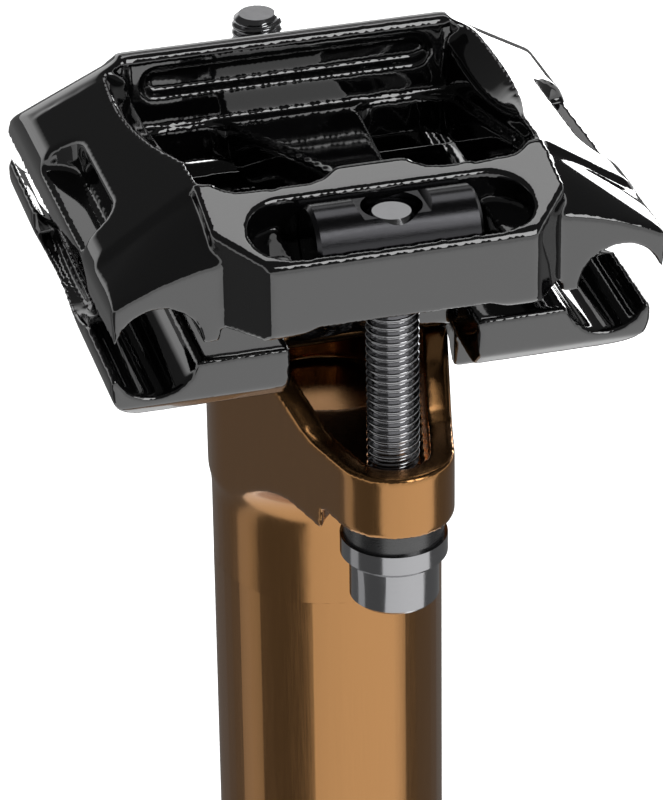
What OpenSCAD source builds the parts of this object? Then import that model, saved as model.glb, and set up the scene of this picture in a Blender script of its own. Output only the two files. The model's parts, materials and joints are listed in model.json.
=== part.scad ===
// Dropper seatpost with a two-bolt saddle rail clamp.
// Millimetres. Z runs up the post, Y along the saddle rails (front is -Y), X across them.
// Z = 0 is the lowest point of the actuator at the foot of the post.

/* [Post] */
// Height of the saddle rail centres above the foot
rail_z = 352; // [345:1:380]
// How far the saddle drops
travel = 100; // [60:1:105]
// Diameter of the fixed outer tube
outer_d = 27.2; // [27:0.1:27.8]
// Wall of the outer tube
outer_wall = 1.5; // [1.4:0.05:1.7]
// Top of the outer tube
outer_top = 196; // [190:1:200]
// Bottom of the outer tube
outer_bottom = 22; // [20:0.5:24]
// Diameter of the sliding upper tube
post_d = 22.8; // [22.4:0.1:23]
// Wall of the sliding upper tube
post_wall = 2.1; // [1.6:0.1:2.3]
// Length of upper tube left inside the outer tube at full height
overlap = 64; // [60:1:68]
// Wall of the bushing at the top of the outer tube
bushing_wall = 0.65; // [0.5:0.05:0.8]

/* [Saddle clamp] */
// Distance between the two saddle rails, centre to centre
rail_gap = 44; // [43:0.5:45]
// Radius of the rail grooves
groove_r = 4.1; // [3.9:0.05:4.2]
// How far the clamp stands open: the lower grooves lie this much below the upper ones
clamp_open = 1.4; // [1.2:0.1:1.8]
// Height of the rocker's turning axis above the rails
rocker_up = 7.2; // [7:0.1:7.4]
// Radius of the saddle that the rocker turns in
rocker_r = 19.3; // [19:0.1:19.6]
// Radius of the rocker's cheeks, which reach down past the head's sides
cheek_r = 23.2; // [22.4:0.1:23.6]
// Width of the rocker across the post
rocker_w = 35; // [34.5:0.5:35.5]
// Distance of each clamp bolt from the post's axis
bolt_y = 23.8; // [23.5:0.1:24.2]
// Wall of the front bar outside its nut slot
bar_wall = 0.8; // [0.7:0.05:1.2]
// Width of the front bar's flat face
bar_face_w = 25.2; // [24:0.2:26.4]
// Half width over the bar, where the rail claws start
claw_in_x = 16.7; // [16.4:0.1:16.9]
// Half width over the rail claws
claw_out_x = 26.3; // [26.2:0.05:26.6]
// Half length of the rail claws along the rails
claw_y = 24.2; // [23.5:0.1:24.6]
// Half length of the lower cradles along the rails
cradle_y = 21.8; // [21.2:0.1:22.4]

/* [Hardware] */
// Thread diameter of the clamp bolts
bolt_d = 5; // [4.8:0.1:5.2]
// Thread pitch of the clamp bolts
bolt_pitch = 0.8; // [0.7:0.05:1]
// Diameter of the bolt heads
head_d = 8.5; // [8.2:0.1:8.8]
// Height of the bolt heads
head_h = 4.5; // [4:0.1:5]
// Diameter of the barrel nuts
nut_d = 7.2; // [7:0.1:7.4]
// Length of the barrel nuts
nut_l = 15.6; // [15:0.2:17]
// Outside diameter of the flange washers
flange_d = 10.2; // [9.8:0.1:10.6]
// Thickness of the flange washers
flange_h = 2.4; // [2:0.1:2.8]

/* [Gas spring] */
// Outside diameter of the gas spring
cartridge_d = 16; // [15:0.2:17]
// Wall of the gas spring
cartridge_wall = 1.5; // [1.2:0.1:1.8]
// Diameter of the gas spring's rod
rod_d = 6; // [5.6:0.2:7]
// Diameter of the valve pin inside the rod
valve_pin_d = 2; // [1.6:0.1:2.4]

/* [Actuator] */
// Height of the lever's pivot above the foot
lever_z = 8; // [7.5:0.1:8.5]
// Diameter of the lever's pivot pin
lever_pin_d = 3; // [2.6:0.1:3.2]
// Diameter of the barrel that holds the cable's end
barrel_d = 5; // [4.6:0.1:5.4]

/* [Hidden] */
$fn = 64;
eps = 0.01;

// Running gap of a bushing on its tube, and of a piece that only has to pass
run_gap = 0.05;
pass_gap = 0.3;

outer_r = outer_d / 2;
bore_r = outer_r - outer_wall;
post_r = post_d / 2;
post_bore_r = post_r - post_wall;
post_bottom = outer_top - overlap;

rail_x = rail_gap / 2;
rocker_z = rail_z + rocker_up;
nut_r = nut_d / 2;
front_nut_z = rail_z + 8.8;
rear_nut_z = rail_z + 3.4;
slot_r = nut_r + 0.1;
slot_half = 9.6;
bar_y = bolt_y + slot_r + bar_wall;
bolt_r = bolt_d / 2;

// Heights on the head, measured from the rails
boss_top = rail_z - 13.85;
boss_h = 6.5;
boss_bottom = boss_top - boss_h;
boss_r = 5.75;
boss_wall = 2.4;
wing_bottom = boss_bottom - 2.4;
head_r = post_r + 0.3;
head_wall = 2.5;
ridge_y = 9.2;
ridge_z = rocker_z - sqrt(pow(rocker_r, 2) - pow(ridge_y, 2));
head_floor_z = boss_bottom - 1;
head_floor_h = 3.2;
washer_r = 4.75;
washer_show = 2.2;
flange_top = boss_bottom - washer_show;

// Heights inside the post
seal_head_h = 12;
ring_h = 1.2;
cartridge_bottom = post_bottom + 8;
cartridge_top = head_floor_z - head_floor_h;
cartridge_r = cartridge_d / 2;
cartridge_bore_r = cartridge_r - cartridge_wall;
cap_h = 8;
rod_r = rod_d / 2;
bumper_h = 2.5;
piston_h = 7;
piston_z = cartridge_bottom + seal_head_h + bumper_h + pass_gap;
float_h = 8;
float_ratio = pow(rod_r / cartridge_bore_r, 2);
float_z = cartridge_top - cap_h - float_ratio * travel - float_h - 2;
base_top = outer_bottom + 6;
valve_pin_r = valve_pin_d / 2;

// Ring of material between two radii
module ring(r_in, r_out, z0, z1) {
    translate([0, 0, z0]) difference() {
        cylinder(r = r_out, h = z1 - z0);
        translate([0, 0, -1]) cylinder(r = r_in, h = z1 - z0 + 2);
    }
}

// Ring seal of square section with rounded outside, seated in a groove
module seal_ring(r_in, r_out, z0, h) {
    rotate_extrude() translate([r_in, z0]) {
        square([r_out - r_in - h / 2, h]);
        translate([r_out - r_in - h / 2, h / 2]) circle(d = h);
    }
}

// Angles of the slide keys round the post
key_angles = [30, 150, 270];
key_r = 1;
key_len = 10;
key_z = post_bottom + 20;
key_at = post_r + 0.05;
key_groove_z = outer_bottom + 8;
groove_end = 4;

// Seat of the upper bushing
upper_bushing_h = 18;
bushing_r = post_r + run_gap + bushing_wall;
bushing_z = outer_top - upper_bushing_h;

// Fixed outer tube, with grooves inside for the slide keys
module outer_tube() {
    color([0.07, 0.07, 0.075]) difference() {
        union() {
            translate([0, 0, outer_bottom]) cylinder(r = outer_r, h = collar_bottom - outer_bottom);
            translate([0, 0, outer_bottom + 1]) cylinder(r = screw_r, h = outer_top - outer_bottom - 1);
        }
        translate([0, 0, outer_bottom - 1]) cylinder(r = bore_r, h = bushing_z - outer_bottom + 1);
        translate([0, 0, bushing_z - 1]) cylinder(r = bushing_r, h = upper_bushing_h + 2);
        for (a = key_angles) rotate(a) translate([key_at, 0, key_groove_z])
            cylinder(r = key_r + 0.1, h = bushing_z - groove_end - key_groove_z, $fn = 32);
    }
}

collar_h = 22;
collar_drop = 10;
collar_wall = 2.8;
collar_bevel = 1.2;
wiper_r = post_r + 2.6;
wiper_h = 5;
collar_r = wiper_r + collar_wall;
collar_top = outer_top + collar_h - collar_drop;
collar_bottom = outer_top - collar_drop;
// The tube is turned down where the collar screws on
screw_r = outer_r - 0.3;

// Screwed collar round the top of the outer tube, with grip flutes at its foot
module seal_collar() {
    flutes = 12;
    flute_depth = 0.7;
    flute_r = 1.6;
    flute_h = 9;
    color([0.09, 0.09, 0.095]) difference() {
        rotate_extrude() polygon([[screw_r, collar_bottom], [collar_r - collar_bevel, collar_bottom],
            [collar_r, collar_bottom + collar_bevel], [collar_r, collar_top - 2 * collar_bevel],
            [collar_r - collar_bevel, collar_top], [wiper_r, collar_top], [wiper_r, collar_top - wiper_h + 1],
            [post_r + 0.5, collar_top - wiper_h + 1], [post_r + 0.5, outer_top], [screw_r, outer_top]]);
        for (k = [0 : flutes - 1]) rotate(k * 360 / flutes)
            translate([collar_r + flute_r - flute_depth, 0, collar_bottom - 1])
                cylinder(r = flute_r, h = flute_h, $fn = 32);
    }
}

// Rubber wiper with a lip that runs on the upper tube
module wiper_seal() {
    z0 = collar_top - wiper_h + 1;
    lip = post_r + run_gap;
    color([0.03, 0.03, 0.03]) rotate_extrude() polygon([[lip + 0.45, z0], [wiper_r, z0], [wiper_r, z0 + 4],
        [wiper_r - 0.4, z0 + 4.6], [lip + 0.9, z0 + wiper_h], [lip, z0 + wiper_h + 0.6],
        [lip, z0 + wiper_h - 0.2], [lip + 0.45, z0 + 3]]);
}

// Plastic bushing that guides the upper tube at the top of the outer tube
module upper_bushing() {
    color([0.75, 0.73, 0.66]) ring(post_r + run_gap, bushing_r, bushing_z, outer_top);
}

cap_r = outer_r - 0.3;
ear_x = 2.8;
ear_t = 2.4;
ear_y = 13;
lever_y = -3;
stop_y = -9.3;
stop_r = 2.9;
cable_r = 0.8;
housing_r = 2.1;

// Screwed foot of the outer tube, with two ears for the lever and a stop for the cable housing
module base_cap() {
    color([0.1, 0.1, 0.105]) difference() {
        union() {
            translate([0, 0, outer_bottom]) cylinder(r = bore_r, h = base_top - outer_bottom);
            translate([0, 0, outer_bottom - 3]) cylinder(r = cap_r, h = 3);
            intersection() {
                for (s = [-1, 1]) translate([s * (ear_x + ear_t / 2) - ear_t / 2, -ear_y, 3])
                    cube([ear_t, 2 * ear_y, outer_bottom - 3 - 3 + eps]);
                translate([0, 0, 1]) cylinder(r = cap_r - 0.3, h = outer_bottom);
            }
            intersection() {
                translate([-ear_x - ear_t, -ear_y, 0]) cube([2 * (ear_x + ear_t), 6.6, 4]);
                cylinder(r = cap_r - 0.3, h = outer_bottom);
            }
        }
        translate([0, 0, outer_bottom - 4]) cylinder(r = rod_r, h = 20);
        translate([-20, lever_y, lever_z]) rotate([0, 90, 0]) cylinder(d = lever_pin_d, h = 40, $fn = 48);
        translate([0, stop_y, -1]) cylinder(r = housing_r, h = 3.4, $fn = 48);
        translate([0, stop_y, -1]) cylinder(r = cable_r, h = 8, $fn = 32);
    }
}

// Rubber stop at the bottom of the travel
module bottom_bumper() {
    color([0.04, 0.04, 0.04]) ring(rod_r + 0.1, rod_r + 3, base_top, cartridge_bottom - travel - pass_gap);
}

// Hollow rod of the gas spring, fixed in the foot
module gas_rod() {
    color([0.75, 0.76, 0.78]) difference() {
        translate([0, 0, outer_bottom - 3]) cylinder(r = rod_r, h = piston_z + piston_h - outer_bottom + 3);
        translate([0, 0, outer_bottom - 4]) cylinder(r = valve_pin_r + 0.1, h = piston_z - outer_bottom, $fn = 32);
    }
}

seal_h = 1.2;
seal_depth = 1.4;
piston_gap = 0.05;

// Piston on the top of the rod
module rod_piston() {
    color([0.7, 0.62, 0.3]) difference() {
        ring(rod_r, cartridge_bore_r - piston_gap, piston_z, piston_z + piston_h);
        ring(cartridge_bore_r - seal_depth, cartridge_bore_r + 1, piston_z + piston_h / 2 - seal_h / 2,
            piston_z + piston_h / 2 + seal_h / 2);
    }
}

// Seal ring of the rod's piston
module piston_seal() {
    color([0.05, 0.05, 0.05]) seal_ring(cartridge_bore_r - seal_depth, cartridge_bore_r - 0.01,
        piston_z + piston_h / 2 - seal_h / 2, seal_h);
}

// Pivot pin of the lever
module lever_pin() {
    l = 2 * (ear_x + ear_t);
    color([0.75, 0.76, 0.78]) translate([-l / 2, lever_y, lever_z]) rotate([0, 90, 0])
        cylinder(d = lever_pin_d, h = l, $fn = 48);
}

lever_t = 5;
lever_hub_r = 3.4;
barrel_y = -9.3;
barrel_z = lever_z + 1;
finger_top = outer_bottom - 6;

// Lever that the cable pulls down at the front, so that its finger lifts the valve pin
module actuator_lever() {
    color([0.13, 0.13, 0.14]) difference() {
        translate([-lever_t / 2, 0, 0]) rotate([90, 0, 90]) linear_extrude(lever_t) difference() {
            union() {
                translate([lever_y, lever_z]) circle(r = lever_hub_r);
                translate([barrel_y, barrel_z]) circle(r = barrel_d / 2 + 0.9);
                polygon([[barrel_y, barrel_z - 3.2], [lever_y, lever_z - lever_hub_r],
                    [lever_y, lever_z + lever_hub_r], [barrel_y, barrel_z + 3.2]]);
                polygon([[lever_y, lever_z - lever_hub_r], [2.2, lever_z - 1], [2.2, finger_top],
                    [-1.6, finger_top], [lever_y - 1, lever_z + lever_hub_r - 0.2]]);
            }
            translate([lever_y, lever_z]) circle(d = lever_pin_d + 2 * run_gap);
            translate([barrel_y, barrel_z]) circle(d = barrel_d);
        }
        translate([0, barrel_y, lever_z - 12]) cylinder(r = cable_r, h = 24, $fn = 32);
    }
}

// Round barrel in the lever that grips the cable's end
module cable_barrel() {
    color([0.7, 0.58, 0.28]) difference() {
        translate([-lever_t / 2, barrel_y, barrel_z]) rotate([0, 90, 0]) cylinder(d = barrel_d, h = lever_t, $fn = 48);
        translate([0, barrel_y, barrel_z - 5]) cylinder(r = cable_r, h = 10, $fn = 32);
        translate([0.9, barrel_y, barrel_z]) rotate([0, 90, 0]) cylinder(r = 1.5, h = 5, $fn = 32);
    }
}

// Set screw in the end of the barrel
module barrel_screw() {
    color([0.6, 0.61, 0.63]) difference() {
        translate([1, barrel_y, barrel_z]) rotate([0, 90, 0]) cylinder(r = 1.5, h = 1.5, $fn = 32);
        translate([1.5, barrel_y, barrel_z]) rotate([0, 90, 0]) cylinder(r = 0.75, h = 5, $fn = 6);
    }
}

// Pin that opens the gas spring's valve when the lever lifts it
module valve_pin() {
    color([0.8, 0.8, 0.82]) translate([0, 0, finger_top + pass_gap])
        cylinder(r = valve_pin_r, h = piston_z - finger_top - pass_gap - 12, $fn = 32);
}

// Plan of the head: a round centre drawn out to the two bolt bosses by tangent lines
module head_plan(r, tip_r) {
    lean = asin((r - tip_r) / bolt_y);
    circle(r = r);
    for (s = [-1, 1]) {
        translate([0, s * bolt_y]) circle(r = tip_r);
        polygon([[r * cos(lean), s * r * sin(lean)], [tip_r * cos(lean), s * (bolt_y + tip_r * sin(lean))],
            [-tip_r * cos(lean), s * (bolt_y + tip_r * sin(lean))], [-r * cos(lean), s * r * sin(lean)]]);
    }
}

// Side view of the head: level bosses, rims that rise to a ridge, and the hollow for the rocker
module head_side() {
    reach = bolt_y + boss_r + 1;
    slope_y = bolt_y - boss_r + 1.2;
    difference() {
        polygon([[-reach, wing_bottom - 12], [reach, wing_bottom - 12], [reach, boss_top], [slope_y + 1, boss_top],
            [slope_y - 1, boss_top + 0.4], [ridge_y + 0.6, ridge_z], [-ridge_y - 0.6, ridge_z],
            [-slope_y + 1, boss_top + 0.4], [-slope_y - 1, boss_top], [-reach, boss_top]]);
        translate([0, rocker_z]) circle(r = rocker_r + run_gap, $fn = 96);
    }
}

bolt_hole_r = 3.3;
spot_r = 6.7;
fillet_r = 7;

// Sliding upper tube with its one-piece head
module upper_post() {
    color([0.55, 0.4, 0.26]) difference() {
        union() {
            translate([0, 0, post_bottom]) cylinder(r = post_r, h = wing_bottom - post_bottom + 1);
            intersection() {
                translate([0, 0, wing_bottom - 9]) linear_extrude(60) head_plan(head_r, boss_r);
                translate([40, 0, 0]) rotate([90, 0, -90]) linear_extrude(80) head_side();
                rotate_extrude() difference() {
                    polygon([[0, wing_bottom - 9], [post_r, wing_bottom - 9], [post_r, wing_bottom - fillet_r],
                        [post_r + fillet_r, wing_bottom], [40, wing_bottom], [40, rail_z], [0, rail_z]]);
                    translate([post_r + fillet_r, wing_bottom - fillet_r]) circle(r = fillet_r);
                }
            }
        }
        // Hollow inside the rim, and the bolt holes
        intersection() {
            translate([0, 0, boss_bottom + 1]) linear_extrude(60) head_plan(head_r - head_wall, boss_r - boss_wall);
            translate([0, 0, boss_bottom + 3]) cylinder(r = 60, h = 60);
        }
        translate([0, 0, head_floor_z]) cylinder(r = head_r - head_wall - 0.6, h = 20);
        for (s = [-1, 1]) translate([0, s * bolt_y, 0]) {
            translate([0, 0, boss_bottom - 1]) cylinder(r = bolt_hole_r, h = boss_h + 2, $fn = 48);
            translate([0, 0, boss_bottom - 8]) cylinder(r = spot_r, h = 8);
            translate([0, 0, boss_bottom + seat_rise - seat_r]) sphere(r = seat_r, $fn = 64);
        }
        // Bore for the gas spring
        translate([0, 0, post_bottom - 1]) cylinder(r = post_bore_r, h = cartridge_top - post_bottom + 1);
        for (a = key_angles) rotate(a) translate([key_at, 0, key_z]) cylinder(r = key_r, h = key_len, $fn = 32);
        ring(post_r - 0.6, post_r + 2, lower_bushing_z, lower_bushing_z + lower_bushing_h);
    }
}

// Ball seat under each boss
seat_r = 6.5;
seat_rise = 1.9;

lower_bushing_h = 14;
lower_bushing_z = post_bottom + 3;
// Bushing in a groove at the foot of the upper tube, split so that it snaps in
module lower_bushing() {
    color([0.75, 0.73, 0.66]) difference() {
        ring(post_r - 0.6, bore_r - run_gap, lower_bushing_z, lower_bushing_z + lower_bushing_h);
        translate([0, -0.5, lower_bushing_z - 1]) cube([20, 1, lower_bushing_h + 2]);
    }
}

// Brass keys that stop the upper tube from turning
module slide_keys() {
    color([0.75, 0.6, 0.28]) for (a = key_angles) rotate(a) translate([key_at, 0, key_z])
        cylinder(r = key_r, h = key_len, $fn = 32);
}

// Sealed tube of the gas spring
module cartridge_tube() {
    color([0.62, 0.63, 0.66]) ring(cartridge_bore_r, cartridge_r, cartridge_bottom, cartridge_top);
}

// Plug at the bottom of the gas spring that guides its rod
module seal_head() {
    color([0.2, 0.2, 0.21]) difference() {
        ring(rod_r + run_gap, cartridge_bore_r, cartridge_bottom, cartridge_bottom + seal_head_h);
        ring(rod_r, rod_r + seal_depth, cartridge_bottom + 5, cartridge_bottom + 5 + seal_h);
    }
}

// Seal round the rod
module rod_seal() {
    color([0.05, 0.05, 0.05]) ring(rod_r + 0.02, rod_r + seal_depth, cartridge_bottom + 5,
        cartridge_bottom + 5 + seal_h);
}

// Rubber ring that the piston meets at full height
module top_out_bumper() {
    z0 = cartridge_bottom + seal_head_h;
    color([0.04, 0.04, 0.04]) ring(rod_r + 0.3, cartridge_bore_r - 0.3, z0, z0 + bumper_h);
}

// Plug at the top of the gas spring, with its filling valve
module cartridge_cap() {
    color([0.2, 0.2, 0.21]) difference() {
        translate([0, 0, cartridge_top - cap_h]) cylinder(r = cartridge_bore_r, h = cap_h);
        translate([0, 0, cartridge_top - 4]) cylinder(r = 2.6, h = 6, $fn = 32);
    }
}

// Snap ring in the upper tube's bore that holds the gas spring up
module retaining_ring() {
    color([0.5, 0.5, 0.52]) difference() {
        ring(cartridge_r - 1.1, post_bore_r, cartridge_bottom - ring_h, cartridge_bottom);
        translate([0, -1.2, cartridge_bottom - ring_h - 1]) cube([20, 2.4, ring_h + 2]);
    }
}

// Piston that floats between the oil and the gas
module floating_piston() {
    color([0.7, 0.62, 0.3]) difference() {
        translate([0, 0, float_z]) cylinder(r = cartridge_bore_r - piston_gap, h = float_h);
        ring(cartridge_bore_r - seal_depth, cartridge_bore_r + 1, float_z + float_h / 2 - seal_h / 2,
            float_z + float_h / 2 + seal_h / 2);
    }
}

// Seal ring of the floating piston
module float_seal() {
    color([0.05, 0.05, 0.05]) seal_ring(cartridge_bore_r - seal_depth, cartridge_bore_r - 0.01,
        float_z + float_h / 2 - seal_h / 2, seal_h);
}

// One domed washer that lets its bolt lean as the clamp tilts
module domed_washer() {
    difference() {
        intersection() {
            translate([0, 0, flange_top]) cylinder(r = washer_r, h = washer_show + 3);
            translate([0, 0, boss_bottom + seat_rise - seat_r]) sphere(r = seat_r, $fn = 64);
        }
        translate([0, 0, flange_top - 1]) cylinder(r = bolt_r + 0.15, h = 12, $fn = 48);
    }
}

// Both domed washers under the bosses
module spherical_washers() {
    color([0.06, 0.06, 0.065]) for (s = [-1, 1]) translate([0, s * bolt_y, 0]) domed_washer();
}

// Both flange washers on the bolt heads
module flange_washers() {
    color([0.62, 0.62, 0.63]) for (s = [-1, 1]) translate([0, s * bolt_y, flange_top - flange_h]) difference() {
        rotate_extrude() polygon([[0, 0], [flange_d / 2 - 0.5, 0], [flange_d / 2, 0.5], [flange_d / 2, flange_h],
            [0, flange_h]]);
        translate([0, 0, -1]) cylinder(r = bolt_r + 0.15, h = flange_h + 2, $fn = 48);
    }
}

bolt_base = flange_top - flange_h - head_h;
front_tip = front_nut_z + nut_r - 1.3;
rear_tip = rail_z + 10;
thread_depth = 0.42;
socket_w = 4;

// Socket head bolt along +Z with its head down, threaded for most of its length
module clamp_bolt(tip) {
    thread_from = boss_bottom + 2;
    turns = floor((tip - 0.6 - thread_from) / bolt_pitch);
    core = bolt_r - thread_depth;
    thread = [for (k = [0 : turns - 1]) for (p = [[core, 0.06], [bolt_r, 0.42], [bolt_r, 0.58], [core, 0.94]])
        [p[0], thread_from + (k + p[1]) * bolt_pitch]];
    difference() {
        rotate_extrude() polygon(concat([[0, bolt_base], [head_d / 2 - 0.4, bolt_base], [head_d / 2, bolt_base + 0.4],
            [head_d / 2, bolt_base + head_h], [bolt_r, bolt_base + head_h], [bolt_r, thread_from]], thread,
            [[core, tip - 0.3], [core - 0.3, tip], [0, tip]]));
        translate([0, 0, bolt_base - 1]) cylinder(d = socket_w / cos(30), h = 3.6, $fn = 6);
    }
}

// Front clamp bolt
module front_bolt() {
    color([0.55, 0.55, 0.57]) translate([0, -bolt_y, 0]) clamp_bolt(front_tip);
}

// Rear clamp bolt, which stands out above its nut
module rear_bolt() {
    color([0.55, 0.55, 0.57]) translate([0, bolt_y, 0]) clamp_bolt(rear_tip);
}

nut_gap = 0.35;
nut_flat = 0.75;
nut_flat_w = 6.2;

// Round nut that lies across the clamp, with a flat round its threaded hole
module barrel_nut(y, nut_z) {
    edge = 0.35;
    difference() {
        translate([0, y, nut_z]) rotate([0, 90, 0]) rotate_extrude() polygon([[0, -nut_l / 2],
            [nut_r - edge, -nut_l / 2], [nut_r, -nut_l / 2 + edge], [nut_r, nut_l / 2 - edge],
            [nut_r - edge, nut_l / 2], [0, nut_l / 2]]);
        translate([0, y + 5, nut_z + nut_r - nut_flat]) rotate([90, 0, 0]) linear_extrude(10)
            polygon([[-nut_flat_w / 2, 0], [nut_flat_w / 2, 0], [nut_flat_w / 2 + 1.3, 2], [-nut_flat_w / 2 - 1.3, 2]]);
        translate([0, y, nut_z - nut_r - 1]) cylinder(r = bolt_r + nut_gap, h = nut_d + 2, $fn = 48);
    }
}

// Front barrel nut
module front_nut() {
    color([0.3, 0.3, 0.31]) barrel_nut(-bolt_y, front_nut_z);
}

// Rear barrel nut
module rear_nut() {
    color([0.3, 0.3, 0.31]) barrel_nut(bolt_y, rear_nut_z);
}

// Lower clamp: heights from the rails
low_z = rail_z - clamp_open + 0.3;
cradle_bottom = 6.7;
cradle_corner = 3.6;
lip_top = -1.9;
rear_cradle_y = 22.6;
// The lower clamp lies at this angle to the upper one until the bolts draw both onto the rails
clamp_skew = 2.2;
// The lower grooves lie a little closer together, so that a rail wedges between both clamps
low_rail_x = rail_x - 0.25;
rear_wall_y = 18;
bolt_bay_x = 9;
scoop_r = 36.5;
rocker_top = -1;
rocker_y = 13;
head_gap = 0.7;

// Outline of the lower clamp seen along the rails, from the middle of its grooves
module cradle_front() {
    side = claw_out_x - 0.3;
    difference() {
        union() {
            for (s = [-1, 1]) {
                translate([s * (side - cradle_corner), -cradle_bottom + cradle_corner]) circle(r = cradle_corner);
                polygon([[s * (low_rail_x - 6), -cradle_bottom], [s * (side - cradle_corner), -cradle_bottom],
                    [s * side, -cradle_bottom + cradle_corner], [s * side, lip_top], [s * (low_rail_x - 3.4), lip_top],
                    [s * (low_rail_x - 4), rocker_top], [s * (low_rail_x - 6), rocker_top]]);
            }
            translate([-low_rail_x + 6, -cradle_bottom]) square([2 * low_rail_x - 12, cradle_bottom + rocker_top]);
        }
        for (s = [-1, 1]) translate([s * low_rail_x, 0]) circle(r = groove_r, $fn = 64);
    }
}

// Long arch milled from the outside of a cradle, with a steep rear end
module lip_scoop(s) {
    deep_y = 4;
    intersection() {
        translate([s * (rail_x + 1.8), deep_y, low_z - cradle_bottom + 1.5 + scoop_r]) rotate([0, s * 90, 0])
            cylinder(r = scoop_r, h = 12, $fn = 160);
        translate([-40, -14, rail_z - 20]) cube([80, 25.4, 40]);
    }
}

// Rocker with the two lower rail cradles
module lower_clamp() {
    end_cut = 1.8;
    step_x = 16.9;
    step_z = -2.2;
    color([0.05, 0.05, 0.055]) translate([0, 0, rocker_z]) rotate([clamp_skew, 0, 0]) translate([0, 0, -rocker_z])
        difference() {
        union() {
            intersection() {
                translate([0, rear_cradle_y, low_z]) rotate([90, 0, 0]) linear_extrude(rear_cradle_y + cradle_y)
                    cradle_front();
                translate([-40, 0, low_z]) rotate([90, 0, 90]) linear_extrude(80) polygon([
                    [-cradle_y, 1], [-cradle_y, -cradle_bottom + end_cut],
                    [-cradle_y + end_cut, -cradle_bottom - 0.1], [rear_cradle_y - end_cut, -cradle_bottom - 0.1],
                    [rear_cradle_y, -cradle_bottom + end_cut], [rear_cradle_y, 1]]);
            }
            intersection() {
                translate([-rocker_w / 2, 0, rocker_z]) rotate([0, 90, 0]) cylinder(r = cheek_r, h = rocker_w, $fn = 96);
                translate([-rocker_w / 2, -rocker_y, rail_z - 25])
                    cube([rocker_w, rocker_y + rear_wall_y, 25 + rocker_top + low_z - rail_z]);
            }
        }
        // Room for the head between the cheeks, up to the rocker's own turning face
        difference() {
            translate([0, 0, rocker_z - 40]) linear_extrude(40) head_plan(head_r + head_gap, boss_r + head_gap);
            translate([-40, 0, rocker_z]) rotate([0, 90, 0]) cylinder(r = rocker_r, h = 80, $fn = 96);
            translate([-40, -40, low_z - cradle_bottom + 2]) cube([80, 80, 40]);
        }
        for (s = [-1, 1]) lip_scoop(s);
        // Bays for the bolts in front of the rocker and behind it
        translate([-bolt_bay_x, -rocker_y - 30, rail_z - 30]) cube([2 * bolt_bay_x, 30, 40]);
        translate([-bolt_bay_x, rear_wall_y, rail_z - 30]) cube([2 * bolt_bay_x, 30, 40]);
        // Lower top behind the rocker, clear of the rear bar
        translate([-step_x, rocker_y, low_z + step_z]) cube([2 * step_x, 30, 40]);
        // Hollow in the top of the rocker
        translate([-11.4, -9.5, rail_z - 7]) cube([22.8, 19, 20]);
    }
}

// Upper clamp: heights from the rails, and places along them
bar_bottom = 1.6;
front_edge_z = 9.4;
top_slope = 0.3;
crest_y = 16.9;
crest_z = front_edge_z + (bar_y - crest_y) * top_slope;
rear_crest_y = 14.2;
rear_crest_z = 12.2;
rear_slope = 0.62;
rear_edge_z = rear_crest_z - (bar_y - rear_crest_y) * rear_slope;
rear_bottom = -1.2;
window_y = 12.2;
window_x = 16.2;
web_y = 13;
web_front_z = 10.4;
web_rear_z = 4.4;
floor_bottom = 0.5;
claw_z = 0.3;
claw_arc_r = 3.7;
claw_lean = 33.7;
claw_top = 12.8;
hem_y = 16.6;
hem_step = 0.5;
front_nose_r = 11.5;
rear_nose_r = 9;

// Points of an arc round [x, y]
function arc(x, y, r, a, b, n = 6) = [for (k = [0 : n]) [x + r * cos(a + (b - a) * k / n), y + r * sin(a + (b - a) * k / n)]];

// Outline of one rail claw, on the +X side, seen along the rails
module claw_front() {
    arc_x = claw_out_x - claw_arc_r;
    arc_z = 4.2;
    difference() {
        union() {
            translate([arc_x, arc_z]) circle(r = claw_arc_r);
            polygon([[window_x, claw_z], [rail_x, claw_z], [claw_out_x - 0.25, 0.9], [claw_out_x, arc_z],
                [arc_x + claw_arc_r * sin(claw_lean), arc_z + claw_arc_r * cos(claw_lean)],
                [window_x, claw_top]]);
        }
        translate([rail_x, claw_z]) circle(r = groove_r, $fn = 64);
        translate([rail_x + 1, -5]) square([20, 5.8]);
    }
}

// Rounds a claw's end over beyond a hem: what lies outside a cylinder goes. The cylinder's crest runs at an angle
// to the hem, and behind the crest the claw keeps its height up to a level
module claw_nose(hem, crest, turn, step, level, nose_r) {
    difference() {
        translate([-30, -hem - 40, -step - 8]) cube([70, 40, 30]);
        translate([0, -crest, 0]) rotate(-turn) {
            translate([-31, 0, -nose_r - step]) rotate([0, 90, 0]) cylinder(r = nose_r, h = 92, $fn = 128);
            translate([-31, 0, -40]) cube([92, 60, 40 + level]);
        }
    }
}

// Milled pocket in the waist of a claw, open to the outside
module waist_pocket() {
    mill_r = 3;
    front_y = -9;
    rear_y = 2.6;
    translate([claw_out_x - 0.7, 0, rail_z + claw_z + groove_r + 0.6]) {
        for (y = [front_y, rear_y]) translate([0, y, 0]) cylinder(r = mill_r, h = 20, $fn = 48);
        translate([-mill_r, front_y, 0]) cube([10, rear_y - front_y, 20]);
    }
}

// Long arch milled from the outside of a claw under its pocket
module waist_arch() {
    wall_x = 24.2;
    translate([wall_x, 0, rail_z]) rotate([90, 0, 90]) linear_extrude(10)
        polygon(concat([[7, -1], [5, 0.5], [-3.8, 2.7]], arc(-10.6, 1.9, 2.4, 90, 180), [[-13, -1]]));
}

// Wide chamfer along the inner top edge of an arm, a shallow hollow that runs out at the front
module arm_chamfer() {
    hollow_r = 48.5;
    hollow_y = 5;
    end_y = window_y - 0.2;
    lean = 35;
    intersection() {
        translate([window_x + 0.2, hollow_y, rail_z + 9.3]) rotate([0, -lean, 0]) translate([-4, 0, hollow_r])
            rotate([0, 90, 0]) cylinder(r = hollow_r, h = 14, $fn = 160);
        translate([0, -40, rail_z]) cube([40, 40 + end_y, 40]);
    }
}

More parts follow.
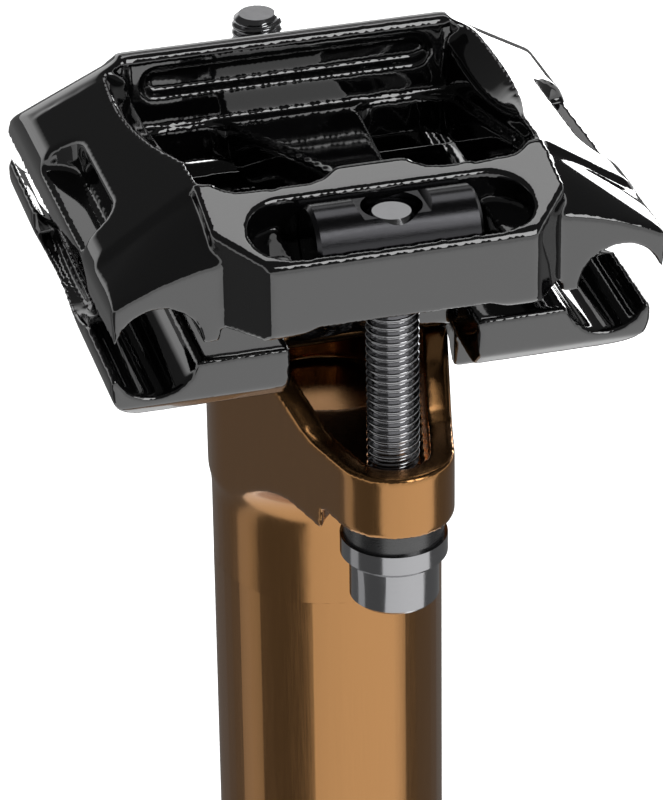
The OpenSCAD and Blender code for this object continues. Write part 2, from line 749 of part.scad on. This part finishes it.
// Both rail claws, rounded over at their ends and milled out at their waists
module claws() {
    for (s = [0, 1]) mirror([s, 0, 0]) difference() {
        translate([0, claw_y, rail_z]) rotate([90, 0, 0]) linear_extrude(2 * claw_y) claw_front();
        translate([window_x, 0, rail_z + claw_top]) rotate([0, claw_lean, 0]) {
            claw_nose(hem_y, 13.2, 32, hem_step, -hem_step - 0.03, front_nose_r);
            mirror([0, 1, 0]) claw_nose(8, 10.2, 16, 0.03, 20, rear_nose_r);
        }
        waist_pocket();
        waist_arch();
    }
}

// Side view of the front and rear bars, and of the floor between them
module bar_side() {
    ease = 0.7;
    polygon([[-bar_y, bar_bottom + ease], [-bar_y + ease, bar_bottom], [-crest_y, bar_bottom],
        [-crest_y + 1, floor_bottom], [window_y + 0.5, floor_bottom], [window_y + 0.5, web_rear_z],
        [-web_y, web_front_z], [-crest_y, crest_z], [-bar_y + ease, front_edge_z + 0.2],
        [-bar_y, front_edge_z - 0.4]]);
    polygon([[window_y, bar_bottom], [window_y + 3, rear_bottom], [bar_y - ease, rear_bottom],
        [bar_y, rear_bottom + ease], [bar_y, rear_edge_z - 0.4], [bar_y - ease, rear_edge_z + 0.2],
        [rear_crest_y, rear_crest_z], [window_y + 0.6, rear_crest_z + 0.3], [window_y, rear_crest_z - 0.3]]);
}

// Plan of the bars, with chamfered corners
module bar_plan() {
    side = claw_in_x;
    side_y = claw_y - 1;
    rear_r = 7;
    for (s = [0, 1]) mirror([s, 0, 0]) polygon(concat([[-eps, -bar_y], [bar_face_w / 2, -bar_y], [side, -side_y]],
        arc(side - rear_r, bar_y - rear_r, rear_r, 0, 90, 8), [[-eps, bar_y]]));
}

// Slot for a barrel nut, open at the top and round at the bottom
module nut_slot(y, nut_z) {
    translate([0, y, nut_z]) {
        linear_extrude(20) {
            square([2 * slot_half, 2 * slot_r], center = true);
            for (s = [-1, 1]) translate([s * slot_half, 0]) circle(r = slot_r, $fn = 48);
        }
        translate([-slot_half, 0, 0]) rotate([0, 90, 0]) cylinder(r = slot_r, h = 2 * slot_half, $fn = 48);
        translate([0, 0, -12]) cylinder(r = bolt_r + 0.9, h = 12, $fn = 48);
    }
}

// Long hole through the floor on the +X side, wide at the front and narrow at the rear
module floor_hole() {
    front_y = -14.8;
    rear_y = 8.4;
    outer_x = 15.6;
    linear_extrude(30) polygon(concat(arc(outer_x - 3.5, front_y, 3.5, -85, 0), arc(outer_x - 3.2, rear_y, 3.2, 0, 90),
        arc(outer_x - 7, rear_y + 0.8, 2.4, 90, 190), arc(6.7, front_y + 0.7, 4.2, 185, 265)));
}

// Upper clamp: two bars, two claws and a floor with two holes, in one piece
module upper_clamp() {
    recess_l = 26;
    recess_h = 2.6;
    recess_z = 9.2;
    arch_x = 10;
    arch_h = 0.85;
    color([0.05, 0.05, 0.055]) difference() {
        union() {
            intersection() {
                translate([-40, 0, rail_z]) rotate([90, 0, 90]) linear_extrude(80) bar_side();
                translate([0, 0, rail_z - 10]) linear_extrude(40) bar_plan();
            }
            claws();
        }
        nut_slot(-bolt_y, front_nut_z);
        nut_slot(bolt_y, rear_nut_z);
        for (s = [0, 1]) mirror([s, 0, 0]) translate([0, 0, rail_z - 5]) floor_hole();
        for (s = [0, 1]) mirror([s, 0, 0]) arm_chamfer();
        // Shallow arch under the front bar
        translate([0, -crest_y + 1, rail_z + bar_bottom]) rotate([90, 0, 0]) linear_extrude(bar_y)
            polygon([[-arch_x, -2], [-arch_x, 0], [-arch_x + 1.8, arch_h], [arch_x - 1.8, arch_h], [arch_x, 0],
                [arch_x, -2]]);
        // Long recess in the inner face of the rear bar
        translate([0, window_y - 1, rail_z + recess_z]) rotate([-90, 0, 0]) linear_extrude(2.2) {
            square([recess_l, recess_h], center = true);
            for (s = [-1, 1]) translate([s * recess_l / 2, 0]) circle(d = recess_h, $fn = 32);
        }
    }
}

outer_tube();
seal_collar();
wiper_seal();
upper_bushing();
base_cap();
bottom_bumper();
gas_rod();
rod_piston();
piston_seal();
lever_pin();
actuator_lever();
cable_barrel();
barrel_screw();
valve_pin();
upper_post();
lower_bushing();
slide_keys();
cartridge_tube();
seal_head();
rod_seal();
top_out_bumper();
cartridge_cap();
retaining_ring();
floating_piston();
float_seal();
spherical_washers();
flange_washers();
front_bolt();
rear_bolt();
front_nut();
rear_nut();
lower_clamp();
upper_clamp();
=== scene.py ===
# %% [markdown]
# # A dropper seatpost in Blender
# The CAD model gives every piece of the post at its real size. This script gives those pieces their
# finishes, adds the soft edges and the threads that exact solids leave out, and sets up light and camera.

# %% Load the frame
import json
import math

import bmesh
import bpy
from mathutils import Euler, Matrix, Vector


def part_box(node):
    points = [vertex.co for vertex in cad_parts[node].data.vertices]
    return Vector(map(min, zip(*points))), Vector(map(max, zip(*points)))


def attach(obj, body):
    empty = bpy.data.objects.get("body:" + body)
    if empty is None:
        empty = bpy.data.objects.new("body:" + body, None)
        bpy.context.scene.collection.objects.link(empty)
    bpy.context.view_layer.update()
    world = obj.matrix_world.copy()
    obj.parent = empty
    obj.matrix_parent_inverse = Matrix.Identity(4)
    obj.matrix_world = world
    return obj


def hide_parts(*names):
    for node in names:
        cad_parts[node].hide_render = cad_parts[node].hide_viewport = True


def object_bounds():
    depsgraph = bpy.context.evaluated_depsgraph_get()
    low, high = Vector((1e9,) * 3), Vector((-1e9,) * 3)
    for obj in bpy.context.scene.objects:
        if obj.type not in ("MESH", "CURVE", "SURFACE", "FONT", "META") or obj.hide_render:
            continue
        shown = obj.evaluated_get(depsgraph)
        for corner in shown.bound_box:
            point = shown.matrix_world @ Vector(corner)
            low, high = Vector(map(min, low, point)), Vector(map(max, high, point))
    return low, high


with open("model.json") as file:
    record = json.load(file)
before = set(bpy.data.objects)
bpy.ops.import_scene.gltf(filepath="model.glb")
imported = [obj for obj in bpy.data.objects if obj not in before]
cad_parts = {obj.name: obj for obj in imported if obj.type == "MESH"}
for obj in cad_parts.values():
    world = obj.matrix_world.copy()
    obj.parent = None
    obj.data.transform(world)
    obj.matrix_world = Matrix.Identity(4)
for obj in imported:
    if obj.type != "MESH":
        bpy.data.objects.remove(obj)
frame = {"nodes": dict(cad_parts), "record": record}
CAD_BOX = [list(corner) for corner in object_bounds()]
MM = 0.001
print("CAD box in millimetres:", [[round(c / MM, 1) for c in corner] for corner in CAD_BOX])

# %% [markdown]
# ## The camera
# The photo looks down on the saddle clamp from the front and a little to the left. Its perspective is
# mild, so the lens is long. The camera's direction is given by two angles and a small roll, and it aims
# at a point on the post's axis just under the clamp, so that no lens shift is needed.

# %% Camera at the photo's angle
mounts = {mount["name"]: Vector(mount["pos_m"]) for mount in frame["record"]["mounts"]}
RAIL_Z = mounts["left_rail"].z
CAMERA_AZIMUTH = math.radians(15.27)
CAMERA_ELEVATION = math.radians(29.23)
CAMERA_ROLL = math.radians(-0.84)
CAMERA_AIM = Vector((0.62 * MM, 0, RAIL_Z - 21.67 * MM))
CAMERA_DISTANCE = 451.2 * MM
SENSOR = 36
LENS = 206.8


def camera_axes(azimuth, elevation, roll):
    """The camera's right, up and forward directions."""
    forward = Vector((math.sin(azimuth) * math.cos(elevation), math.cos(azimuth) * math.cos(elevation),
                      -math.sin(elevation)))
    level_right = Vector((math.cos(azimuth), -math.sin(azimuth), 0))
    level_up = level_right.cross(forward)
    right = math.cos(roll) * level_right + math.sin(roll) * level_up
    up = math.cos(roll) * level_up - math.sin(roll) * level_right
    return right, up, forward


right, up, forward = camera_axes(CAMERA_AZIMUTH, CAMERA_ELEVATION, CAMERA_ROLL)
camera_data = bpy.data.cameras.new("camera")
camera_data.sensor_width = SENSOR
camera_data.lens = LENS
camera_data.clip_start = 0.01
camera_data.clip_end = 50
camera = bpy.data.objects.new("camera", camera_data)
bpy.context.scene.collection.objects.link(camera)
camera.matrix_world = Matrix.Translation(CAMERA_AIM - CAMERA_DISTANCE * forward) @ Matrix(
    (right, up, -forward)).transposed().to_4x4()
bpy.context.scene.camera = camera
print("Camera at", [round(c, 3) for c in camera.matrix_world.translation])

# %% [markdown]
# ## Colours and nodes
# Colours are written as hex values, as a paint chart gives them. Cycles works with linear light, so one
# function turns the hex value into linear numbers. One more function adds a shader node with its
# settings and its links.

# %% Helpers for materials


def linear(hex_colour):
    """Linear RGBA of an sRGB hex colour."""
    channels = [int(hex_colour[k:k + 2], 16) / 255 for k in (1, 3, 5)]
    return [c / 12.92 if c <= 0.04045 else ((c + 0.055) / 1.055) ** 2.4 for c in channels] + [1.0]


def add_node(tree, kind, settings=None, inputs=None):
    """A node of that kind. An input is a value, or a socket that is linked to it."""
    node = tree.nodes.new(kind)
    for name, value in (settings or {}).items():
        setattr(node, name, value)
    for name, value in (inputs or {}).items():
        if isinstance(value, bpy.types.NodeSocket):
            tree.links.new(value, node.inputs[name])
        else:
            node.inputs[name].default_value = value
    return node


def new_material(name):
    """An empty material with its Principled shader, and its node tree."""
    material = bpy.data.materials.new(name)
    material.use_nodes = True
    return material, material.node_tree, material.node_tree.nodes["Principled BSDF"]


def grain(tree, width_mm, length_mm, along):
    """Noise whose marks are that wide and long, with their length along one axis of the object."""
    place = add_node(tree, "ShaderNodeTexCoord").outputs["Object"]
    scale = [1 / (width_mm * MM)] * 3
    scale["XYZ".index(along)] = 1 / (length_mm * MM)
    stretched = add_node(tree, "ShaderNodeMapping", {"vector_type": "POINT"}, {"Vector": place, "Scale": scale})
    return add_node(tree, "ShaderNodeTexNoise", inputs={"Vector": stretched.outputs["Vector"], "Scale": 1.0,
                                                       "Detail": 3.0}).outputs["Fac"]


MARKS_FROM, MARKS_TO = 0.3, 0.7
ROUGHNESS_SPREAD = 0.2
COLOUR_SPREAD = 0.06
MARK_DEPTH = 0.01 * MM
MIX_FACTOR, MIX_A, MIX_B, MIX_RESULT = 0, 6, 7, 2


def finished(name, colour, roughness, width_mm, length_mm, along, relief, metallic, ior=None):
    """A finish whose roughness, colour and relief follow the marks that its making left."""
    material, tree, shader = new_material(name)
    marks = grain(tree, width_mm, length_mm, along)
    rough = add_node(tree, "ShaderNodeMapRange", inputs={
        "Value": marks, "From Min": MARKS_FROM, "From Max": MARKS_TO,
        "To Min": roughness * (1 - ROUGHNESS_SPREAD), "To Max": roughness * (1 + ROUGHNESS_SPREAD)})
    dark, light = [[c * (1 + side * COLOUR_SPREAD) for c in linear(colour)[:3]] + [1.0] for side in (-1, 1)]
    tint = add_node(tree, "ShaderNodeMix", {"data_type": "RGBA"}, {MIX_FACTOR: marks, MIX_A: dark, MIX_B: light})
    bump = add_node(tree, "ShaderNodeBump", inputs={"Height": marks, "Strength": relief, "Distance": MARK_DEPTH})
    tree.links.new(tint.outputs[MIX_RESULT], shader.inputs["Base Color"])
    tree.links.new(rough.outputs["Result"], shader.inputs["Roughness"])
    tree.links.new(bump.outputs["Normal"], shader.inputs["Normal"])
    shader.inputs["Metallic"].default_value = metallic
    if ior:
        shader.inputs["IOR"].default_value = ior
    return material


# %% [markdown]
# ## Finishes
# Anodising grows a clear layer of aluminium oxide and fills it with dye. On the bronze tube the dye lets
# the metal shine through, so it is a metal with a warm colour, drawn along its length by the grinding
# belt. Dyed black, nothing of the metal is left: only the oxide's own gloss shows, so the clamp is a
# black dielectric with the high refractive index of the oxide. Steel parts are turned, so their marks
# run round them. The marks are drawn wider than the real ones, which would be too fine to see here.

# %% Materials of every piece
FINISHES = {
    "bronze_anodised": finished("bronze_anodised_aluminium", "#a67a4e", 0.2, 0.12, 6, "Z", 0.08, 1.0),
    "black_anodised": finished("gloss_black_anodised_aluminium", "#0b0b0c", 0.05, 0.4, 0.4, "Z", 0.02, 0.0, 1.9),
    "black_tube": finished("satin_black_anodised_aluminium", "#161618", 0.28, 0.12, 4, "Z", 0.2, 0.0, 1.77),
    "bolt_steel": finished("plain_alloy_steel", "#9c9c9e", 0.14, 0.8, 0.08, "Z", 0.06, 1.0),
    "nut_steel": finished("dark_phosphated_steel", "#3c3c3e", 0.22, 0.08, 0.8, "X", 0.1, 1.0),
    "washer_black": finished("blackened_steel", "#121214", 0.3, 0.8, 0.1, "Z", 0.1, 0.0, 1.8),
    "rod_chrome": finished("hard_chrome", "#d5d5d8", 0.08, 0.5, 0.1, "Z", 0.05, 1.0),
    "cartridge_aluminium": finished("clear_anodised_aluminium", "#b8b9bc", 0.25, 0.6, 0.1, "Z", 0.1, 1.0),
    "rubber": finished("nitrile_rubber", "#161616", 0.6, 0.3, 0.3, "Z", 0.4, 0.0, 1.52),
    "bushing_plastic": finished("moulded_acetal", "#d8d4c8", 0.45, 0.4, 0.4, "Z", 0.1, 0.0, 1.48),
    "brass": finished("machined_brass", "#c9a45a", 0.2, 0.6, 0.1, "Z", 0.1, 1.0),
}

slot_of = {entry["node"]: entry["material_slot"] for entry in frame["record"]["subparts"]}
for name, node in frame["nodes"].items():
    node.data.materials.clear()
    node.data.materials.append(FINISHES[slot_of[name]])
print("Finished", len(frame["nodes"]), "CAD pieces")

# %% [markdown]
# ## Soft edges
# The clamp and the head are forged, tumbled and polished, so no edge is sharp, and the light draws a thin
# line along each one. A bevel would need clean edges, which a solid with many cuts doesn't have. A fine
# voxel remesh turns the solid into even little squares, and rounds of smoothing then melt only the
# edges, because a flat face stays flat. An edge that runs almost along the voxels would come out in long
# steps, so the solid is turned askew to them for the remesh and back again afterwards.

# %% Remesh and smooth
VOXEL = 0.25 * MM
SMOOTH_ROUNDS = 18
SMOOTH_FACTOR = 0.5
ASKEW = Euler([math.radians(angle) for angle in (17, 23, 31)]).to_matrix()
JOIN_DISTANCE = 0.001 * MM


def copy_mesh(node):
    """The node's mesh as a new bmesh, with its corners joined."""
    work = bmesh.new()
    work.from_mesh(frame["nodes"][node].data)
    bmesh.ops.remove_doubles(work, verts=work.verts, dist=JOIN_DISTANCE)
    return work


def cut(work, height, keep_upper):
    """Keeps what lies above or below that height. Each loop of the cut gets a flat face, the bore's too."""
    everything = work.verts[:] + work.edges[:] + work.faces[:]
    found = bmesh.ops.bisect_plane(work, geom=everything, plane_co=(0, 0, height), plane_no=(0, 0, 1),
                                   clear_inner=keep_upper, clear_outer=not keep_upper)
    rim = [item for item in found["geom_cut"] if isinstance(item, bmesh.types.BMEdge)]
    bmesh.ops.contextual_create(work, geom=rim)


def new_piece(name, mesh, node):
    """Puts a mesh into the scene in place of a CAD node, with that node's body and finish."""
    piece = bpy.data.objects.new(name, mesh)
    bpy.context.scene.collection.objects.link(piece)
    piece.data.materials.clear()
    piece.data.materials.append(FINISHES[slot_of[node]])
    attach(piece, body_of[node])
    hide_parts(node)
    return piece


def melt(work, name):
    """The bmesh remeshed, with its edges melted."""
    bmesh.ops.rotate(work, verts=work.verts, matrix=ASKEW)
    mesh = bpy.data.meshes.new(name)
    work.to_mesh(mesh)
    work.free()
    blank = bpy.data.objects.new(name, mesh)
    bpy.context.scene.collection.objects.link(blank)
    remesh = blank.modifiers.new("remesh", "REMESH")
    remesh.mode = "VOXEL"
    remesh.voxel_size = VOXEL
    smooth = blank.modifiers.new("smooth", "SMOOTH")
    smooth.factor = SMOOTH_FACTOR
    smooth.iterations = SMOOTH_ROUNDS
    result = bpy.data.meshes.new_from_object(blank.evaluated_get(bpy.context.evaluated_depsgraph_get()))
    bpy.data.objects.remove(blank)
    result.transform(ASKEW.transposed().to_4x4())
    result.shade_smooth()
    return result


body_of = {node: body for body, nodes in frame["record"]["behaviour"]["bodies"].items() for node in nodes}
for node in ("upper_clamp", "lower_clamp"):
    piece = new_piece(node + "_polished", melt(copy_mesh(node), node + "_polished"), node)
    print(piece.name, len(piece.data.polygons), "faces")

# %% [markdown]
# ## The post's head
# Only the head has edges to melt. The tube below it is a plain cylinder, so it keeps its own mesh, and
# the two meet at a level cut under the bosses.

# %% Head and tube
HEAD_CUT = RAIL_Z - 38 * MM
OVERLAP = 2 * MM
POST_SHARP_ANGLE = math.radians(35)

head = copy_mesh("upper_post")
cut(head, HEAD_CUT - OVERLAP, True)
head_mesh = melt(head, "melted_head")
post = bmesh.new()
post.from_mesh(head_mesh)
cut(post, HEAD_CUT, True)
tube = copy_mesh("upper_post")
cut(tube, HEAD_CUT, False)
tube_mesh = bpy.data.meshes.new("tube")
tube.to_mesh(tube_mesh)
tube.free()
post.from_mesh(tube_mesh)
post_mesh = bpy.data.meshes.new("upper_post_polished")
post.to_mesh(post_mesh)
post.free()
post_mesh.shade_smooth()
post_mesh.set_sharp_from_angle(angle=POST_SHARP_ANGLE)
new_piece("upper_post_polished", post_mesh, "upper_post")
print("Post with", len(post_mesh.polygons), "faces")

# %% [markdown]
# ## Bolts
# A rolled thread is a helix. It is built as a fine tube of points whose radius follows the thread: the
# height in the pitch and the angle round the bolt together say how deep the groove is at that point.

# %% Bolts with a helical thread
PITCH = 0.8 * MM
BOLT_R = 2.5 * MM
THREAD_DEPTH = 0.42 * MM
PLAIN_ABOVE_WASHER = 4.2 * MM
HEAD_H = 4.5 * MM
HEAD_TRIM = 0.01 * MM
SHANK_IN_HEAD = 0.2 * MM
CREST_SHARE = 0.12
FLANK_SHARE = 0.76
ROWS_PER_PITCH = 12
SEGMENTS = 72
TIP_CHAMFER = 0.7 * MM
BOLT_SHARP_ANGLE = math.radians(30)


def thread_radius(turn, from_start, from_tip):
    """Radius at that share of a turn, with the thread running out at its start and at the tip."""
    off_crest = abs(2 * (turn % 1) - 1)
    groove = min(1, max(0, (off_crest - CREST_SHARE) / FLANK_SHARE))
    depth = THREAD_DEPTH * groove * groove * (3 - 2 * groove)
    radius = BOLT_R - depth * min(1, max(0, from_start / PITCH))
    return min(radius, BOLT_R - TIP_CHAMFER + from_tip)


def threaded_bolt(node):
    """The bolt's own head, with a helical thread in place of its rings."""
    low, high = [Vector(corner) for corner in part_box(node)]
    centre = (low + high) / 2
    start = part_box("flange_washers")[1][2] + PLAIN_ABOVE_WASHER
    rows = round((high.z - start) / PITCH * ROWS_PER_PITCH)
    heights = [low.z + HEAD_H - SHANK_IN_HEAD] + [start + (high.z - start) * k / rows for k in range(rows + 1)]
    work = copy_mesh(node)
    cut(work, low.z + HEAD_H - HEAD_TRIM, False)
    rings = []
    for z in heights:
        ring = []
        for k in range(SEGMENTS):
            angle = 2 * math.pi * k / SEGMENTS
            r = thread_radius((z - start) / PITCH - k / SEGMENTS, z - start, high.z - z)
            ring.append(work.verts.new((centre.x + r * math.cos(angle), centre.y + r * math.sin(angle), z)))
        rings.append(ring)
    for lower, upper in zip(rings, rings[1:]):
        for k in range(SEGMENTS):
            work.faces.new((lower[k], lower[k - SEGMENTS + 1], upper[k - SEGMENTS + 1], upper[k]))
    work.faces.new(rings[-1])
    work.faces.new(rings[0][::-1])
    mesh = bpy.data.meshes.new(node + "_threaded")
    work.to_mesh(mesh)
    work.free()
    mesh.shade_smooth()
    mesh.set_sharp_from_angle(angle=BOLT_SHARP_ANGLE)
    return new_piece(node + "_threaded", mesh, node)


for node in ("front_bolt", "rear_bolt"):
    print(threaded_bolt(node).name)

# %% [markdown]
# ## Studio
# The product stands on white paper that fades into a white horizon. Polished black metal shows little but
# its surroundings, so the surroundings do the drawing. The paper is bright towards the front right, and
# dark flags close off the other sides. The flags show only in reflections: they cast no shadow.

# %% Floor
FLOOR_SIZE = 12


def new_card(name, corners, faces, material):
    """A card of flat faces through those corners."""
    mesh = bpy.data.meshes.new(name)
    mesh.from_pydata(corners, [], faces)
    mesh.materials.append(material)
    card = bpy.data.objects.new(name, mesh)
    bpy.context.scene.collection.objects.link(card)
    return card


def paper(name, shade, glow):
    """White paper that also glows a little for the camera and for reflections, so that it shows as white."""
    material, tree, shader = new_material(name)
    tree.nodes.remove(shader)
    rays = add_node(tree, "ShaderNodeLightPath")
    seen = rays.outputs["Is Camera Ray"]
    for kind in ("Is Glossy Ray", "Is Transmission Ray"):
        seen = add_node(tree, "ShaderNodeMath", {"operation": "MAXIMUM"}, {0: seen, 1: rays.outputs[kind]}).outputs[0]
    strength = add_node(tree, "ShaderNodeMath", {"operation": "MULTIPLY"}, {0: seen, 1: glow}).outputs[0]
    matt = add_node(tree, "ShaderNodeBsdfDiffuse", inputs={"Color": linear(shade)})
    light = add_node(tree, "ShaderNodeEmission", inputs={"Color": linear("#ffffff"), "Strength": strength})
    both = add_node(tree, "ShaderNodeAddShader", inputs={0: matt.outputs[0], 1: light.outputs[0]})
    tree.links.new(both.outputs[0], tree.nodes["Material Output"].inputs["Surface"])
    return material


half = FLOOR_SIZE / 2
floor_z = CAD_BOX[0][2]
floor_corners = [(-half, -half, floor_z), (half, -half, floor_z), (half, half, floor_z), (-half, half, floor_z)]
new_card("floor", floor_corners, [(0, 1, 2, 3)], paper("white_paper", "#f2f2f2", 0.85))
print("Floor of", FLOOR_SIZE, "metres")

# %% Flags round the post
FLAG_RADIUS = 0.26
FLAG_TOP = RAIL_Z - 25 * MM
FLAG_BOTTOM = floor_z + 1 * MM


def flag(name, from_degrees, to_degrees, radiance, steps=24):
    """An upright curved card between two bearings, counted from the front towards the right."""
    material, tree, shader = new_material(name + "_felt")
    tree.nodes.remove(shader)
    felt = add_node(tree, "ShaderNodeEmission", inputs={"Color": linear("#ffffff"), "Strength": radiance})
    tree.links.new(felt.outputs[0], tree.nodes["Material Output"].inputs["Surface"])
    corners = []
    for k in range(steps + 1):
        bearing = math.radians(from_degrees + (to_degrees - from_degrees) * k / steps)
        x, y = FLAG_RADIUS * math.sin(bearing), -FLAG_RADIUS * math.cos(bearing)
        corners += [(x, y, FLAG_BOTTOM), (x, y, FLAG_TOP)]
    faces = [(2 * k, 2 * k + 2, 2 * k + 3, 2 * k + 1) for k in range(steps)]
    card = new_card(name, corners, faces, material)
    card.visible_camera = False
    card.visible_shadow = False
    card.visible_diffuse = False
    card.visible_transmission = False


flag("flag_back", 60, 244, 0.17)
flag("flag_strip", 244, 268, 0.62, 6)
flag("flag_left", 268, 323, 0.14)

# %% World
HORIZON_ENDS = 0.1
CEILING_STARTS = 0.25
world = bpy.data.worlds.new("studio")
bpy.context.scene.world = world
world.use_nodes = True
world_tree = world.node_tree
background = world_tree.nodes["Background"]
direction = add_node(world_tree, "ShaderNodeTexCoord").outputs["Generated"]
height = add_node(world_tree, "ShaderNodeSeparateXYZ", inputs={"Vector": direction}).outputs["Z"]
fade = add_node(world_tree, "ShaderNodeValToRGB", inputs={"Fac": height})
horizon, ceiling = fade.color_ramp.elements
horizon.position, horizon.color = HORIZON_ENDS, linear("#ffffff")
ceiling.position, ceiling.color = CEILING_STARTS, linear("#494949")
world_tree.links.new(fade.outputs["Color"], background.inputs["Color"])
background.inputs["Strength"].default_value = 1.0
print("World fades from white to grey between heights", HORIZON_ENDS, "and", CEILING_STARTS)


# %% Lamps
def soft_box(name, azimuth, elevation, distance, width, height_m, power):
    """A soft box at that azimuth from the back towards the right, and that elevation, that faces the clamp."""
    lamp = bpy.data.lights.new(name, "AREA")
    lamp.shape = "RECTANGLE"
    lamp.size = width
    lamp.size_y = height_m
    lamp.energy = power
    box = bpy.data.objects.new(name, lamp)
    bpy.context.scene.collection.objects.link(box)
    a, e = math.radians(azimuth), math.radians(elevation)
    outward = Vector((math.sin(a) * math.cos(e), math.cos(a) * math.cos(e), math.sin(e)))
    box.location = Vector((0, 0, RAIL_Z)) + distance * outward
    box.rotation_euler = outward.to_track_quat("Z", "Y").to_euler()
    print("Soft box", name, "of", power, "W")


soft_box("top", 28, 61, 1.2, 0.6, 0.5, 1.9)
soft_box("back", 15, 29, 1.2, 0.35, 0.25, 0.22)
soft_box("right_back", 38, 3, 1.1, 0.45, 0.5, 6)
soft_box("front_right", 150, 35, 1.2, 0.5, 0.8, 5)

# %% View transform
bpy.context.scene.view_settings.view_transform = "Standard"
